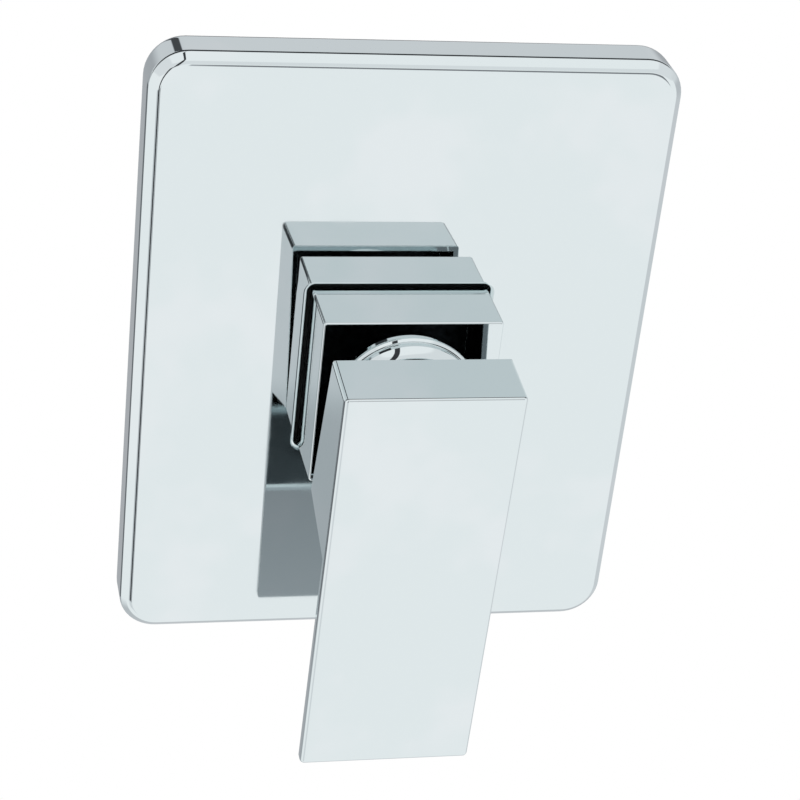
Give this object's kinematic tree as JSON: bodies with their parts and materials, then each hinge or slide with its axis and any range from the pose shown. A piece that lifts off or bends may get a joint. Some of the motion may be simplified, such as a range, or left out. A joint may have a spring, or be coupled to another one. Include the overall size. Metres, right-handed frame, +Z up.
{
  "type": "single-lever shower mixer",
  "caption": "Concealed shower mixer: rectangular wall plate, square hub and a flat hanging lever that lifts to open and turns to set the temperature.",
  "frame": {"origin": "where the hub's axis meets the wall's surface, which is the back plane of the wall plate", "axes": "+Z up, -Y out of the wall towards the user along the hub's axis, +X to the right seen from the front"},
  "size_m": [0.14, 0.1156, 0.1913],
  "materials": {
    "chrome": "polished",
    "brass": "machined",
    "steel": "plain",
    "rubber": "matt",
    "white_plastic": "moulded",
    "grey_plastic": "moulded",
    "disc_ceramic": "lapped"
  },
  "bodies": {
    "body": {"cover_plate": "chrome", "plate_gasket": "rubber", "sleeve_seal": "rubber", "square_sleeve": "chrome", "sleeve_adaptor": "grey_plastic", "dome_cap": "chrome", "cartridge_nut": "brass", "valve_body": "brass", "hot_port": "brass", "cold_port": "brass", "shower_port": "brass", "lower_port": "brass", "outlet_plug": "brass", "plug_washer": "rubber", "cartridge_housing": "white_plastic", "cartridge_base": "grey_plastic", "base_seals": "rubber", "chamber_seal": "rubber", "fixed_disc": "disc_ceramic", "limit_ring": "grey_plastic"},
    "spindle": {"spindle_guide": "white_plastic", "guide_ring": "rubber", "pivot_pin": "steel"},
    "lever": {"lever_stem": "brass", "handle_lever": "chrome", "grub_screw": "steel"},
    "mixer": {"moving_disc": "disc_ceramic", "disc_driver": "grey_plastic"}
  },
  "joints": [
    {"name": "temperature", "type": "hinge", "parent": "body", "child": "spindle", "pos_m": [0, -0.0204, 0], "axis": [0, -1, 0], "range_deg": [-45, 45]},
    {"name": "lift", "type": "hinge", "parent": "spindle", "child": "lever", "pos_m": [0, -0.0204, 0], "axis": [-1, 0, 0], "range_deg": [0, 25]},
    {"name": "disc_slide", "type": "slide", "parent": "spindle", "child": "mixer", "axis": [0, 0, -1], "range_m": [0, 0.0066]}
  ],
  "couplings": [
    {"joint": "disc_slide", "follows": "lift", "m_per_rad": 0.01488}
  ]
}
